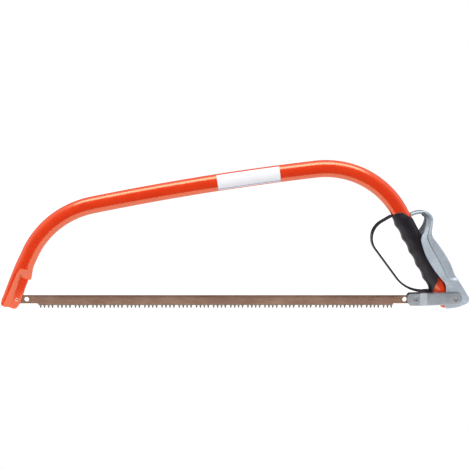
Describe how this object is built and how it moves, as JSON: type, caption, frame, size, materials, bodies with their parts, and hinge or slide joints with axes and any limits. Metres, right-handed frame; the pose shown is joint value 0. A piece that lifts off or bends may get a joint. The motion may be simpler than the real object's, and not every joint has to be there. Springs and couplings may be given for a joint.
{
  "type": "bow saw",
  "caption": "Handsaw of the bow type: bent oval tube frame, thin pegged blade held on pins, over-centre tension lever with link plates, black grip and knuckle guard.",
  "frame": {"origin": "X = 0 at the middle of the overall length, Y = 0 in the plane of the blade, Z = 0 at the level of the tooth tips, with the saw upright.", "axes": "+X runs from the front end along the blade to the handle, +Z runs from the blade up to the crown of the frame, and +Y runs across the saw, away from the labelled side."},
  "size_m": [0.7118, 0.0322, 0.2271],
  "materials": {
    "frame_paint": "glossy red-orange powder coat",
    "blade_steel": "cold-rolled, thinly oiled strip",
    "lever_steel": "bright zinc plate",
    "link_steel": "satin zinc plate",
    "pin_steel": "satin steel",
    "grip_plastic": "fine-grained black",
    "guard_plastic": "smooth black",
    "label_film": "white film, blank"
  },
  "bodies": {
    "frame": {"frame_tube": "frame_paint", "front_blade_pin": "pin_steel", "fulcrum_pin": "pin_steel", "grip": "grip_plastic", "knuckle_guard": "guard_plastic", "frame_label": "label_film"},
    "lever": {"tension_lever": "lever_steel"},
    "link": {"link_plate_near": "link_steel", "link_plate_far": "link_steel", "link_rivet_near": "pin_steel", "link_rivet_far": "pin_steel", "rear_blade_pin": "pin_steel"},
    "blade": {"saw_blade": "blade_steel"}
  },
  "joints": [
    {"name": "lever_swing", "type": "hinge", "parent": "frame", "child": "lever", "pos_m": [0.3218, 0, 0.0135], "axis": [0, 1, 0], "range_deg": [0, 70]},
    {"name": "link_swing", "type": "hinge", "parent": "lever", "child": "link", "pos_m": [0.3336, 0, 0.016], "axis": [0, 1, 0], "range_deg": [-92, 0]},
    {"name": "blade_swing", "type": "hinge", "parent": "frame", "child": "blade", "pos_m": [-0.3322, 0, 0.014], "axis": [0, 1, 0], "range_deg": [0, 3.4]}
  ],
  "couplings": [
    {"joint": "link_swing", "follows": "lever_swing", "ratio": -1.3115},
    {"joint": "blade_swing", "follows": "lever_swing", "ratio": 0.04744}
  ]
}
